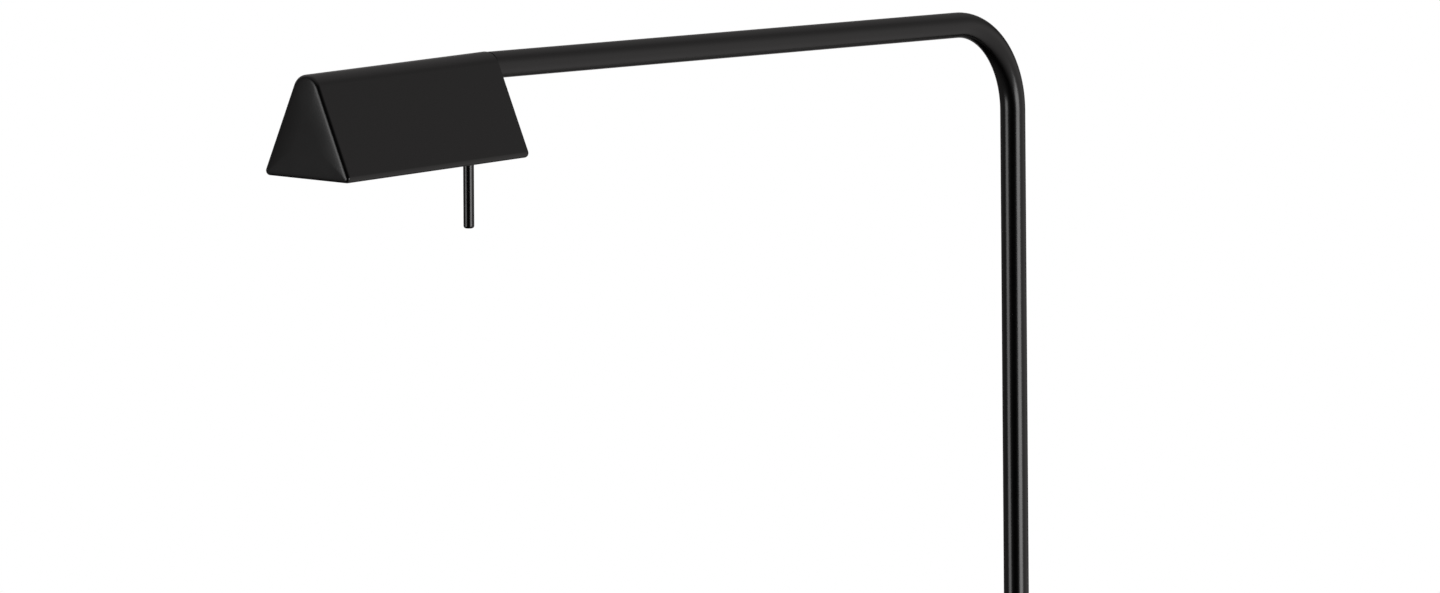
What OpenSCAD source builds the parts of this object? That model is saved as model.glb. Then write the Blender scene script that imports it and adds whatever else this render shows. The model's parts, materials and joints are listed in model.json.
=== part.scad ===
// Floor-standing reading light with a tent shade on a bent-tube arm.
// Frame: millimetres, +Z up. The origin is the centre of the foot on the floor, the post stands
// on the Z axis, and the arm reaches along -X.

/* [Stand] */
// Height of the arm's centre line above the floor, as stored
arm_height = 1100; // [1000:5:1320]
// How far the arm can be raised from there
raise_travel = 110; // [60:5:150]
// How far the arm can be lowered from there
lower_travel = 190; // [100:5:230]
// Height of the post's top end above the floor
post_height = 620; // [517:1:744]
// Wall of the post tube
post_wall = 1.5; // [1:0.1:2.5]
// Least length of arm tube that stays inside the post
insertion = 80; // [50:1:110]

/* [Arm] */
// Outer diameter of the bent tube
tube_d = 16; // [13:0.1:19.5]
// Wall of the bent tube
tube_wall = 1.2; // [1:0.1:1.6]
// Stem's centre line to the tube's far end
arm_reach = 497.8; // [350:0.1:600]
// Centre-line radius of the bend
bend_r = 57; // [45:1:80]
// Nose-down angle of the swivel against the arm, degrees
swivel_droop = 1.75; // [0:0.05:4]
// Turn of the head about the swivel, as stored, degrees
head_roll = -2.1; // [-10:0.1:10]

/* [Shade] */
// Length over both end caps
shade_len = 158; // [130:0.1:200]
// Width over the rim
shade_w = 68.1; // [55:0.1:80]
// Swivel axis to the rim
shade_drop = 52; // [43:0.5:62]
// Swivel axis to the top of the ridge
ridge_rise = 8.4; // [7:0.1:10.1]
// Outer radius of the rounded ridge
ridge_r = 10.7; // [9:0.1:12.8]
// Sheet of the shade
shell_t = 1; // [0.8:0.1:1.2]
// Thickness of the end caps
cap_t = 2.4; // [2.1:0.1:3]
// Rounding of the end caps' outer edges
edge_r = 2; // [0.4:0.1:2]
// Rounding of the rim, where the sheet turns in
corner_r = 2.8; // [2.2:0.1:4]
// Flat of the turned-in rim past its rounding
rim_lip = 1.5; // [0.5:0.1:3]
// Swivel axis to the ledges that carry the diffuser
lens_drop = 36; // [33:0.5:38]

/* [Stalk] */
// Diameter of the control stalk
stalk_d = 6.4; // [5.2:0.1:7.7]
// Outer face of the arm-side cap to the stalk's centre line
stalk_inset = 17.5; // [16:0.5:20]
// Swivel axis to the stalk's lower end
stalk_end = 94.5; // [78:0.5:115]
// Rounding of the stalk's lower end
stalk_edge_r = 1.5; // [0.5:0.1:2]

/* [Swivel] */
// Diameter of the hollow journal that the head turns on
spigot_d = 8; // [7:0.1:9.6]
// Diameter of the journal's threaded end
thread_d = 6.5; // [5.5:0.1:6.8]
// Bore for the lead
lead_bore = 3.2; // [2.4:0.1:3.6]
// Length of the bearing block
block_len = 12; // [10:0.5:13]
// Turn of the head to each side of level, degrees
head_turn = 90; // [45:5:100]

/* [Base] */
// Diameter of the base
base_d = 254; // [210:1:305]
// Height of the base's flat top above the floor
base_h = 22; // [18.3:0.1:27]
// Rounding of the base's top edge
base_edge_r = 6; // [2:0.5:8]
// Sheet of the base cover
cover_t = 1.2; // [0.8:0.1:1.6]
// Thickness of the foot pad
pad_t = 2; // [1:0.1:4]
// Thickness of the closing plate
plate_t = 2; // [1.8:0.1:3]
// Bore of the cord outlet
gland_bore = 6.5; // [5.5:0.1:7.5]

/* [Height lock] */
// Length of the ferrule's skirt on the post
ferrule_skirt = 22; // [15:1:30]
// Wall of the ferrule
ferrule_wall = 2; // [1.5:0.1:3]
// Length of the collet that grips the arm tube
collet_len = 12; // [9:0.5:16]
// Wall of the collet
collet_wall = 2.1; // [1.6:0.1:2.6]
// Wall of the lock ring
ring_wall = 2.6; // [2:0.1:4]
// Number of grip flutes round the lock ring
flutes = 36; // [12:1:48]

/* [Hidden] */
$fn = 64;

// Finishes
satin_black = "#1d1d1e";
nylon_black = "#26262a";
zinc = "#b9bcc0";
brass = "#b08d4a";
white_paint = "#efefec";

// Clearances
run_gap = 0.05;   // radial, in a fit that turns or slides
press_gap = 0.02; // radial, in a fit that is pressed or screwed together
loose_gap = 0.3;  // round a piece that only passes or lies close
eps = 0.01;       // overshoot of a cut past a face

// Mast: bent tube, bush, post and lock, from the inside out
tube_id = tube_d - 2 * tube_wall;
bush_t = 1.4;
bush_len = 24;
bush_d = tube_d + 2 * (run_gap + bush_t);
post_id = bush_d + 2 * run_gap;
post_d = post_id + 2 * post_wall;
groove_t = 0.4;
clip_t = 1;
clip_d = tube_d + 1.8;
stop_h = 4;
stop_d = (tube_d + post_id) / 2 + 1;
shoulder_d = tube_d + 2;
shoulder_t = 3;
stop_gap = 0.5;
collet_d = tube_d + 2 * (run_gap + collet_wall);
ferrule_d = post_d + 2 * (press_gap + ferrule_wall);
neck_d = collet_d + 2 * (press_gap + ferrule_wall - 0.3);
neck_h = shoulder_t + collet_len - 1;
ring_d = max(ferrule_d, neck_d + 2 * ring_wall);
ring_lift = 1;
lip_t = 3.8;
ring_lip_z = post_height + shoulder_t + collet_len + loose_gap;
stop_top = post_height - raise_travel - stop_gap;
bush_top = stop_top - insertion;
tube_tail = 2;
sleeve_wall = 2.5;
tube_low = bush_top - bush_len - 2 * clip_t - tube_tail;

// Base stack, from the floor up
plate_z = pad_t;
weight_z = pad_t + plate_t;
cover_r = base_d / 2;
weight_gap = 1.5;
weight_r = cover_r - cover_t - weight_gap;
pad_margin = 5;
nipple_d = 10;
nipple_bore = 6.5;
nut_af = 17;
nut_h = 5;
washer_d = 28;
washer_h = 1.5;
pocket_d = washer_d + 4;
pocket_h = nut_h + washer_h + 4;
channel_w = 9;
gland_neck = gland_bore + 2.4;
gland_flange = gland_bore + 5.5;
gland_z = weight_z + gland_flange / 2;
channel_h = gland_flange / 2 + channel_w / 2;
// The top edge's rounding ends above the cord outlet
edge_r_fit = min(base_edge_r, base_h - gland_z - gland_flange / 2);
gland_flange_t = 2;
gland_seat = 12;
socket_h = 10;
socket_floor = 2;
socket_wall = 8;
socket_rim = 1.5;
socket_d = post_d + 2 * socket_wall;
plug_h = 20;
plate_screw_d = 3;
plate_screw_head = 6;
plate_screw_len = 10;
plate_screws_n = 3;
plate_screw_r = 0.7 * cover_r;

// Head stations along the swivel axis, from the arm tube's end outwards
flange_t = 2;
friction_t = 0.6;
friction_x = flange_t + friction_t;
cap_x = friction_x + run_gap;
cap_in = cap_x + cap_t;
shade_x = cap_x + shade_len;
end_in = shade_x - cap_t;
block_x = cap_in + block_len;
spring_h = 1;
spring_t = 0.5;
washer_t = 1;
swivel_nut_t = 4;
nut_x = block_x + spring_h + washer_t;
spigot_x = nut_x + swivel_nut_t + 1;
plug_len = 24;

// Tent section: a ridge arc centred below the swivel axis and two flat sides tangent to it
ridge_drop = ridge_r - ridge_rise;
rim_reach = [shade_w / 2, shade_drop - ridge_drop];
half_angle = atan(rim_reach[0] / rim_reach[1]) - asin(ridge_r / norm(rim_reach));
ridge_in = ridge_r - shell_t;
function side_y(r, drop) = r / cos(half_angle) + (drop - ridge_drop) * tan(half_angle);
corner_y = side_y(ridge_r - corner_r, shade_drop - corner_r);
turn_gap = 1.2;
axis_room = ridge_rise - shell_t;
swivel_nut_af = 2 * (axis_room - turn_gap) * cos(30);
block_r = axis_room - loose_gap;
block_w = 12;
block_drop = 12;
pin_d = 2;
pin_x = cap_in + block_len / 2;
pin_groove_w = pin_d + 0.6;
pin_groove_t = 1.2;
pin_play = 2;

// Lamp tray, hung on two brackets under the ridge
bracket_t = 1.2;
bracket_w = 16;
leg_drop = block_drop + 0.5;
shelf_drop = 22;
sink_drop = shelf_drop + bracket_t;
sink_t = 3;
sink_w = 28;
board_drop = sink_drop + sink_t;
board_t = 1.6;
board_w = 18;
stalk_x = cap_x + stalk_inset;
dimmer_w = 13;
dimmer_h = 8;
tab_len = 3;
dimmer_bush_d = 7;
dimmer_bush_len = 7;
dimmer_nut_af = 10;
dimmer_nut_t = 2;
shaft_d = 4;
shaft_top = shelf_drop - dimmer_h + 2;
stalk_top = shelf_drop + dimmer_bush_len + 1;
stalk_socket = 9;
shelf_x = stalk_x + 18;
sink_x0 = stalk_x + 8;
sink_x1 = end_in - 3;
end_shelf = 18;
fin_n = 4;
fin_t = 1.6;
fin_top = 13;
fin_pitch = 6.4;
fin_x0 = shelf_x + 6;
fin_x1 = end_in - end_shelf - 2;
board_x0 = fin_x0;
board_x1 = end_in - end_shelf + 2;
sink_screw_d = 3;
sink_screw_head = 5.5;
sink_screw_head_t = 2;
sink_screw_at = [
    for (x = [shelf_x - 4, end_in - end_shelf / 2], y = [-5, 5]) [x, y]
];
board_screw_d = 2.5;
board_screw_head = 4.5;
board_screw_head_t = 1.6;
board_screw_at = [
    for (x = [board_x0 + 4, board_x1 - 4], y = [-6, 6]) [x, y]
];
led_n = 10;
led_w = 3;
led_t = 0.8;
led_pitch = (board_x1 - board_x0 - 20) / (led_n - 1);
rail_t = 0.8;
rail_leg = 5;
ledge_w = 4.5;
lens_t = 2;
lens_x = stalk_x + 10;
lens_half = side_y(ridge_in, lens_drop - lens_t) - rail_t / cos(half_angle) - loose_gap;
tray_cover_t = 1;
stalk_hole = stalk_d + 1.6;

// Lead from the journal's mouth to the dimmer, and on to the board
lead_d = 1.6;
lead_y = 3;
lead_hole_d = 5;
lead_hole_x = (shelf_x + fin_x0) / 2;
tab_x = stalk_x + dimmer_w / 2 + tab_len;
tab_z = -shelf_drop + dimmer_h / 2;
lead_rise = 3;

// Curves
arc_n = 24;   // steps along the ridge
corner_n = 5; // steps along a small rounding
function arc(c, r, a0, a1, n) = [
    for (i = [0:n]) let (a = a0 + (a1 - a0) * i / n) c + r * [cos(a), sin(a)]
];
function bezier(p, t) =
    pow(1 - t, 3) * p[0] + 3 * t * pow(1 - t, 2) * p[1]
    + 3 * t * t * (1 - t) * p[2] + pow(t, 3) * p[3];

// Closed outline of the tent, drawn in by inset all round
function tent_outline(inset) = concat(
    arc([corner_y, corner_r - shade_drop], corner_r - inset, -90, half_angle, corner_n),
    arc([0, -ridge_drop], ridge_r - inset, half_angle, 180 - half_angle, arc_n),
    arc([-corner_y, corner_r - shade_drop], corner_r - inset, 180 - half_angle, 270, corner_n)
);

// One face of the folded sheet, from lip to lip over the ridge
function sheet_line(inset) = let (
    lip_y = corner_y - rim_lip,
    lip_z = inset - shade_drop
) concat([[lip_y, lip_z]], tent_outline(inset), [[-lip_y, lip_z]]);
function reversed(list) = [for (i = [len(list) - 1:-1:0]) list[i]];

// Basic solids
module ring(d_out, d_in, h) {
    difference() {
        cylinder(d = d_out, h = h);
        translate([0, 0, -eps]) cylinder(d = d_in, h = h + 2 * eps);
    }
}
module tube_at(d_out, d_in, z0, z1) {
    translate([0, 0, z0]) ring(d_out, d_in, z1 - z0);
}
module hex_nut(af, d_in, h) {
    difference() {
        cylinder(d = af / cos(30), h = h, $fn = 6);
        translate([0, 0, -eps]) cylinder(d = d_in, h = h + 2 * eps);
    }
}
module rod_x(d, x0, x1) {
    translate([x0, 0, 0]) rotate([0, 90, 0]) cylinder(d = d, h = x1 - x0);
}
module ring_x(d_out, d_in, x0, x1) {
    translate([x0, 0, 0]) rotate([0, 90, 0]) ring(d_out, d_in, x1 - x0);
}
module along_x(x0, x1) {
    translate([x0, 0, 0]) rotate([90, 0, 90]) linear_extrude(x1 - x0) children();
}
module block_at(x0, x1, w, z0, z1) {
    translate([x0, -w / 2, z0]) cube([x1 - x0, w, z1 - z0]);
}
module drop_holes(places, d, z0, z1) {
    for (p = places) translate([p[0], p[1], z0]) cylinder(d = d, h = z1 - z0);
}

// Closed solid through rings of as many points each, clockwise seen from the last ring's side
module loft(rings) {
    n = len(rings);
    m = len(rings[0]);
    points = [for (ring = rings, p = ring) p];
    sides = [
        for (i = [0:n - 2], k = [0:m - 1], upper = [false, true])
            let (a = i * m + k, b = i * m + (k + 1) % m)
            upper ? [a, b + m, a + m] : [a, b, b + m]
    ];
    first = [for (k = [1:m - 2]) [0, k + 1, k]];
    last = [for (k = [1:m - 2]) [(n - 1) * m, (n - 1) * m + k, (n - 1) * m + k + 1]];
    polyhedron(points, concat(sides, first, last));
}

// Frame of the swivel: +X leaves the arm along the swivel axis
module in_swivel() {
    translate([-arm_reach, 0, arm_height]) rotate([0, swivel_droop, 180]) children();
}
// Frame of the head, turned about the swivel as stored
module in_head() {
    in_swivel() rotate([head_roll, 0, 0]) children();
}

// Base
module foot_pad() {
    color("#3b3b3d") cylinder(d = base_d - 2 * (cover_t + pad_margin), h = pad_t);
}
module plate_screw_places() {
    for (i = [0:plate_screws_n - 1]) {
        rotate([0, 0, 60 + 360 / plate_screws_n * i]) translate([plate_screw_r, 0, plate_z]) children();
    }
}
module plate_screw(gap) {
    head_h = (plate_screw_head - plate_screw_d) / 2;
    cylinder(d1 = plate_screw_head + 2 * gap, d2 = plate_screw_d + 2 * gap, h = head_h);
    cylinder(d = plate_screw_d + 2 * gap, h = plate_screw_len + gap);
}
module base_plate() {
    color(zinc) difference() {
        translate([0, 0, plate_z]) cylinder(r = weight_r, h = plate_t);
        plate_screw_places() plate_screw(press_gap);
    }
}
module plate_screws() {
    color(zinc) plate_screw_places() plate_screw(0);
}
module base_weight() {
    top = base_h - cover_t;
    color("#4a4a4c") difference() {
        rotate_extrude() polygon([
            [0, weight_z], [weight_r, weight_z], [weight_r, top - edge_r_fit],
            [weight_r - edge_r_fit, top], [0, top]
        ]);
        translate([0, 0, weight_z - eps]) cylinder(d = nipple_d + 1, h = top);
        translate([0, 0, weight_z - eps]) cylinder(d = pocket_d, h = pocket_h + eps);
        translate([0, -channel_w / 2, weight_z - eps]) cube([cover_r, channel_w, channel_h]);
        translate([cover_r - gland_seat, -gland_flange / 2 - 1, weight_z - eps])
            cube([gland_seat, gland_flange + 2, gland_flange]);
        plate_screw_places() plate_screw(press_gap);
    }
}
module base_cover() {
    edge_in = edge_r_fit - cover_t;
    edge_c = [cover_r - edge_r_fit, base_h - edge_r_fit];
    hole_r = nipple_d / 2 + loose_gap;
    color(satin_black) difference() {
        rotate_extrude() polygon(concat(
            [[cover_r, plate_z]],
            arc(edge_c, edge_r_fit, 0, 90, 2 * corner_n),
            [[hole_r, base_h], [hole_r, base_h - cover_t]],
            arc(edge_c, edge_in, 90, 0, 2 * corner_n),
            [[cover_r - cover_t, plate_z]]
        ));
        translate([0, 0, gland_z]) rod_x(gland_neck + 2 * press_gap, cover_r - gland_seat, cover_r + 1);
    }
}
module cord_gland() {
    inner_x = cover_r - cover_t - loose_gap;
    color(nylon_black) translate([0, 0, gland_z]) difference() {
        union() {
            rod_x(gland_neck, inner_x - gland_flange_t, cover_r + gland_flange_t);
            rod_x(gland_flange, cover_r, cover_r + gland_flange_t);
            rod_x(gland_flange, inner_x - gland_flange_t, inner_x);
        }
        rod_x(gland_bore, inner_x - gland_flange_t - 1, cover_r + gland_flange_t + 1);
    }
}
module post_socket() {
    r = socket_d / 2;
    bore_r = post_d / 2 + press_gap;
    hole_r = nipple_d / 2 + loose_gap;
    top = base_h + socket_h;
    color(satin_black) rotate_extrude() polygon(concat(
        [[hole_r, base_h], [r, base_h]],
        arc([r, top], socket_wall - socket_rim, -90, -180, 2 * corner_n),
        [[bore_r, top], [bore_r, base_h + socket_floor], [hole_r, base_h + socket_floor]]
    ));
}
module post_plug() {
    z = base_h + socket_floor;
    color(zinc) tube_at(post_id - 2 * press_gap, nipple_d + 2 * press_gap, z, z + plug_h);
}
module base_nipple() {
    z0 = weight_z + pocket_h - washer_h - nut_h - 1;
    color(brass) tube_at(nipple_d, nipple_bore, z0, base_h + socket_floor + plug_h - 2);
}
module nipple_washer() {
    z1 = weight_z + pocket_h;
    color(zinc) tube_at(washer_d, nipple_d + 2 * loose_gap, z1 - washer_h, z1);
}
module nipple_nut() {
    color(zinc) translate([0, 0, weight_z + pocket_h - washer_h - nut_h])
        hex_nut(nut_af, nipple_d + 2 * press_gap, nut_h);
}

// Post and height lock
module post_tube() {
    color(satin_black) tube_at(post_d, post_id, base_h + socket_floor, post_height);
}
// Sleeve on the plug that ends the arm tube's way down
module stop_sleeve() {
    d = post_id - 2 * press_gap;
    z0 = base_h + socket_floor + plug_h;
    color(zinc) tube_at(d, d - 2 * sleeve_wall, z0, tube_low - lower_travel - stop_gap);
}
module post_ferrule() {
    seat_d = collet_d + 2 * press_gap;
    color(satin_black) union() {
        tube_at(ferrule_d, post_d + 2 * press_gap, post_height - ferrule_skirt, post_height);
        tube_at(ferrule_d, shoulder_d, post_height, post_height + ring_lift - 0.5);
        tube_at(neck_d, shoulder_d, post_height + ring_lift - 0.5, post_height + shoulder_t);
        tube_at(neck_d, seat_d, post_height + shoulder_t, post_height + neck_h);
    }
}
module collet() {
    slot = 1.5;
    z0 = post_height + shoulder_t;
    color("#d8d8d2") difference() {
        tube_at(collet_d, tube_d + 2 * run_gap, z0, z0 + collet_len);
        translate([0, -slot / 2, z0 - eps]) cube([collet_d, slot, collet_len + 2 * eps]);
    }
}
module lock_ring() {
    z0 = post_height + ring_lift;
    top = ring_lip_z + lip_t;
    flute_r = 0.9;
    chamfer = 1;
    bore_r = neck_d / 2 + run_gap;
    lip_r = tube_d / 2 + loose_gap;
    r = ring_d / 2;
    color(satin_black) difference() {
        rotate_extrude() polygon([
            [bore_r, z0], [r - chamfer, z0], [r, z0 + chamfer], [r, top - chamfer],
            [r - chamfer, top], [lip_r, top], [lip_r, ring_lip_z], [bore_r, ring_lip_z]
        ]);
        for (i = [0:flutes - 1]) {
            rotate([0, 0, 360 / flutes * i]) translate([r + flute_r / 2, 0, z0 + 3 * chamfer])
                cylinder(r = flute_r, h = top - z0 - 6 * chamfer, $fn = 24);
        }
    }
}
module glide_bush() {
    color("#d8d8d2") tube_at(bush_d, tube_d + 2 * run_gap, bush_top - bush_len, bush_top);
}

// Bent arm tube, with grooves for the rings that ride on its lower end
clip_low = [bush_top + run_gap, bush_top - bush_len - run_gap - clip_t];
module arm_tube() {
    stem_top = arm_height - bend_r;
    color(satin_black) difference() {
        union() {
            tube_at(tube_d, tube_id, tube_low, stem_top);
            translate([-bend_r, 0, stem_top]) rotate([90, 0, 0]) rotate_extrude(angle = 90)
                translate([bend_r, 0]) difference() {
                    circle(d = tube_d);
                    circle(d = tube_id);
                }
            translate([0, 0, arm_height]) ring_x(tube_d, tube_id, -arm_reach, -bend_r);
        }
        for (z = clip_low) tube_at(tube_d + 1, tube_d - 2 * groove_t, z, z + clip_t);
        tube_at(tube_d + 1, tube_d - 2 * groove_t, stop_top - stop_h, stop_top);
    }
}
module bush_clips() {
    color(zinc) for (z = clip_low) {
        tube_at(clip_d, tube_d - 2 * (groove_t - press_gap), z + press_gap, z + clip_t - press_gap);
    }
}
module height_stop() {
    color("#d8d8d2") tube_at(
        stop_d, tube_d - 2 * (groove_t - press_gap), stop_top - stop_h + press_gap, stop_top - press_gap
    );
}

// Swivel: fitting pressed into the arm tube, its washers and its nut
module swivel_fitting() {
    color(satin_black) difference() {
        union() {
            translate([0, 0, arm_height])
                rod_x(tube_id - 2 * press_gap, -arm_reach - flange_t / 2, -arm_reach + plug_len);
            difference() {
                in_swivel() rod_x(tube_d, -flange_t, flange_t);
                translate([-arm_reach, -tube_d, arm_height - tube_d]) cube(2 * tube_d);
            }
            in_swivel() rod_x(spigot_d, 0, block_x);
            in_swivel() rod_x(thread_d, 0, spigot_x);
        }
        in_swivel() rod_x(lead_bore, -plug_len - 2, spigot_x + 1);
        in_swivel() pin_groove();
    }
}
// Arc groove that lets the stop pin turn to each side of the lowest point
module pin_groove() {
    reach = head_turn + asin(pin_d / (spigot_d - 2 * pin_groove_t)) + pin_play;
    floor_r = spigot_d / 2 - pin_groove_t;
    translate([pin_x - pin_groove_w / 2, 0, 0]) rotate([0, 90, 0]) rotate([0, 0, -reach])
        rotate_extrude(angle = 2 * reach) translate([floor_r, 0]) square([spigot_d, pin_groove_w]);
}
module friction_washer() {
    color(nylon_black) in_swivel() ring_x(tube_d - 1, spigot_d + 2 * run_gap, flange_t, friction_x);
}
module spring_washer() {
    r0 = spigot_d / 2 - 0.6;
    r1 = swivel_nut_af / 2;
    color(zinc) in_swivel() translate([block_x, 0, 0]) rotate([0, 90, 0]) rotate_extrude() polygon([
        [r0, spring_h - spring_t], [r1, 0], [r1, spring_t], [r0, spring_h]
    ]);
}
module swivel_washer() {
    color(zinc) in_swivel()
        ring_x(swivel_nut_af, thread_d + 2 * run_gap, block_x + spring_h, nut_x);
}
module swivel_nut() {
    color(zinc) in_swivel() translate([nut_x, 0, 0]) rotate([0, 90, 0])
        hex_nut(swivel_nut_af, thread_d + 2 * press_gap, swivel_nut_t);
}

// Shade
module shade_shell() {
    color(satin_black) in_head() along_x(cap_in, end_in)
        polygon(concat(sheet_line(0), reversed(sheet_line(shell_t))));
}
// Cap plate lying on x = 0, its rounded face towards +X
module cap_plate() {
    function ring_at(x, inset) = [for (p = reversed(tent_outline(inset))) [x, p[0], p[1]]];
    rounding = [
        for (i = [0:corner_n]) let (a = 90 * i / corner_n)
            ring_at(cap_t - edge_r * (1 - sin(a)), edge_r * (1 - cos(a)))
    ];
    loft(concat([ring_at(0, 0)], rounding));
}
module shade_end_cap() {
    color(satin_black) in_head() translate([end_in, 0, 0]) cap_plate();
}
module shade_arm_cap() {
    color(satin_black) in_head() difference() {
        translate([cap_in, 0, 0]) mirror([1, 0, 0]) cap_plate();
        rod_x(spigot_d + 2 * run_gap, 0, cap_in + 1);
    }
}
module swivel_block() {
    color(zinc) in_head() difference() {
        union() {
            rod_x(2 * block_r, cap_in, block_x);
            block_at(cap_in, block_x, block_w, -block_drop, 0);
        }
        rod_x(spigot_d + 2 * run_gap, 0, block_x + 1);
        translate([pin_x, 0, -block_drop - 1]) cylinder(d = pin_d + 2 * press_gap, h = block_drop);
    }
}
module stop_pin() {
    top = -(spigot_d / 2 - pin_groove_t + loose_gap);
    color(zinc) in_head() translate([pin_x, 0, -block_drop]) cylinder(d = pin_d, h = block_drop + top);
}

// Lamp tray
module switch_bracket() {
    color(zinc) in_head() difference() {
        union() {
            block_at(cap_in, cap_in + bracket_t, bracket_w, -sink_drop, -leg_drop);
            block_at(cap_in, shelf_x, bracket_w, -sink_drop, -shelf_drop);
        }
        drop_holes([[stalk_x, 0]], dimmer_bush_d + 2 * press_gap, -sink_drop - 1, -shelf_drop + 1);
        drop_holes(sink_screw_at, sink_screw_d + 2 * press_gap, -sink_drop - 1, -shelf_drop + 1);
    }
}
module end_bracket() {
    color(zinc) in_head() difference() {
        union() {
            block_at(end_in - bracket_t, end_in, bracket_w, -sink_drop, -leg_drop);
            block_at(end_in - end_shelf, end_in, bracket_w, -sink_drop, -shelf_drop);
        }
        drop_holes(sink_screw_at, sink_screw_d + 2 * press_gap, -sink_drop - 1, -shelf_drop + 1);
    }
}
module heat_sink() {
    color("#c4c7ca") in_head() difference() {
        union() {
            block_at(sink_x0, sink_x1, sink_w, -board_drop, -sink_drop);
            for (i = [0:fin_n - 1]) translate([0, fin_pitch * (i - (fin_n - 1) / 2), 0])
                block_at(fin_x0, fin_x1, fin_t, -sink_drop - eps, -fin_top);
        }
        drop_holes(sink_screw_at, sink_screw_d + 2 * press_gap, -board_drop - 1, -sink_drop + 1);
        drop_holes(board_screw_at, board_screw_d + 2 * press_gap, -board_drop - 1, -sink_drop + 1);
        drop_holes([[lead_hole_x, -lead_y / 2]], lead_hole_d, -board_drop - 1, -sink_drop + 1);
    }
}
module sink_screws() {
    color(zinc) in_head() for (p = sink_screw_at) translate([p[0], p[1], 0]) {
        translate([0, 0, -board_drop]) cylinder(d = sink_screw_d, h = board_drop - shelf_drop);
        translate([0, 0, -shelf_drop]) cylinder(d = sink_screw_head, h = sink_screw_head_t);
    }
}
module led_board() {
    color(white_paint) in_head() difference() {
        block_at(board_x0, board_x1, board_w, -board_drop - board_t, -board_drop);
        drop_holes(board_screw_at, board_screw_d + 2 * press_gap, -board_drop - 2 * board_t, 0);
    }
}
module board_screws() {
    color(zinc) in_head() for (p = board_screw_at) translate([p[0], p[1], -board_drop - board_t]) {
        cylinder(d = board_screw_d, h = board_t + sink_t - 0.2);
        translate([0, 0, -board_screw_head_t]) cylinder(d = board_screw_head, h = board_screw_head_t);
    }
}
module led_chips() {
    color("#e8d35a") in_head() for (i = [0:led_n - 1]) {
        x = (board_x0 + board_x1) / 2 + led_pitch * (i - (led_n - 1) / 2);
        block_at(x - led_w / 2, x + led_w / 2, led_w, -board_drop - board_t - led_t, -board_drop - board_t);
    }
}
// Section of one rail: a leg along the shade's side and a ledge at its foot
function rail_outline() = let (
    top = lens_drop - rail_leg,
    foot = lens_drop + rail_t,
    skin = rail_t / cos(half_angle),
    ledge_y = side_y(ridge_in, foot) - ledge_w
) [
    [side_y(ridge_in, top), -top], [side_y(ridge_in, foot), -foot], [ledge_y, -foot],
    [ledge_y, -lens_drop], [side_y(ridge_in, lens_drop) - skin, -lens_drop],
    [side_y(ridge_in, top) - skin, -top]
];
module lens_rails() {
    color(white_paint) in_head() for (side = [0, 1]) mirror([0, side, 0])
        along_x(cap_in, end_in) polygon(rail_outline());
}
module diffuser() {
    color("#f4f4ee") in_head()
        block_at(lens_x, end_in - loose_gap, 2 * lens_half, -lens_drop, -lens_drop + lens_t);
}
module switch_cover() {
    color(white_paint) in_head() difference() {
        block_at(
            cap_in + loose_gap, lens_x - loose_gap, 2 * lens_half, -lens_drop, -lens_drop + tray_cover_t
        );
        drop_holes([[stalk_x, 0]], stalk_hole, -lens_drop - 1, -lens_drop + lens_t);
    }
}

// Dimmer and the stalk that turns it
module dimmer() {
    color("#2f4f6f") in_head() difference() {
        union() {
            translate([stalk_x, 0, 0])
                block_at(-dimmer_w / 2, dimmer_w / 2, dimmer_w, -shelf_drop, -shelf_drop + dimmer_h);
            translate([stalk_x, 0, -shelf_drop - dimmer_bush_len])
                cylinder(d = dimmer_bush_d, h = dimmer_bush_len + 1);
            for (y = [-lead_y, lead_y]) translate([0, y, 0])
                block_at(tab_x - tab_len - 1, tab_x, 2, tab_z - 0.4, tab_z + 0.4);
        }
        translate([stalk_x, 0, -shelf_drop - dimmer_bush_len - 1])
            cylinder(d = shaft_d + 2 * run_gap, h = shelf_drop + dimmer_bush_len + 1 - shaft_top + loose_gap);
    }
}
module dimmer_nut() {
    color(zinc) in_head() translate([stalk_x, 0, -sink_drop - dimmer_nut_t])
        hex_nut(dimmer_nut_af, dimmer_bush_d + 2 * press_gap, dimmer_nut_t);
}
module dimmer_shaft() {
    low = stalk_top + stalk_socket - loose_gap;
    color(zinc) in_head() translate([stalk_x, 0, -low]) cylinder(d = shaft_d, h = low - shaft_top);
}
module stalk() {
    r = stalk_d / 2;
    bore_r = shaft_d / 2 + press_gap;
    floor_z = -stalk_top - stalk_socket;
    color(satin_black) in_head() difference() {
        translate([stalk_x, 0, 0]) rotate_extrude() polygon(concat(
            [[0, -stalk_end]],
            arc([r - stalk_edge_r, stalk_edge_r - stalk_end], stalk_edge_r, -90, 0, corner_n),
            [[r, -stalk_top], [bore_r, -stalk_top], [bore_r, floor_z], [0, floor_z]]
        ));
        grub_axis() cylinder(d = grub_d + 2 * press_gap, h = stalk_d);
    }
}
grub_d = 2;
module grub_axis() {
    translate([stalk_x, 0, -stalk_top - stalk_socket / 2]) rotate([0, 90, 0]) children();
}
module stalk_screw() {
    r0 = shaft_d / 2 + press_gap;
    color(zinc) in_head() grub_axis() translate([0, 0, r0])
        cylinder(d = grub_d, h = stalk_d / 2 - r0 - 0.1);
}

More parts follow.
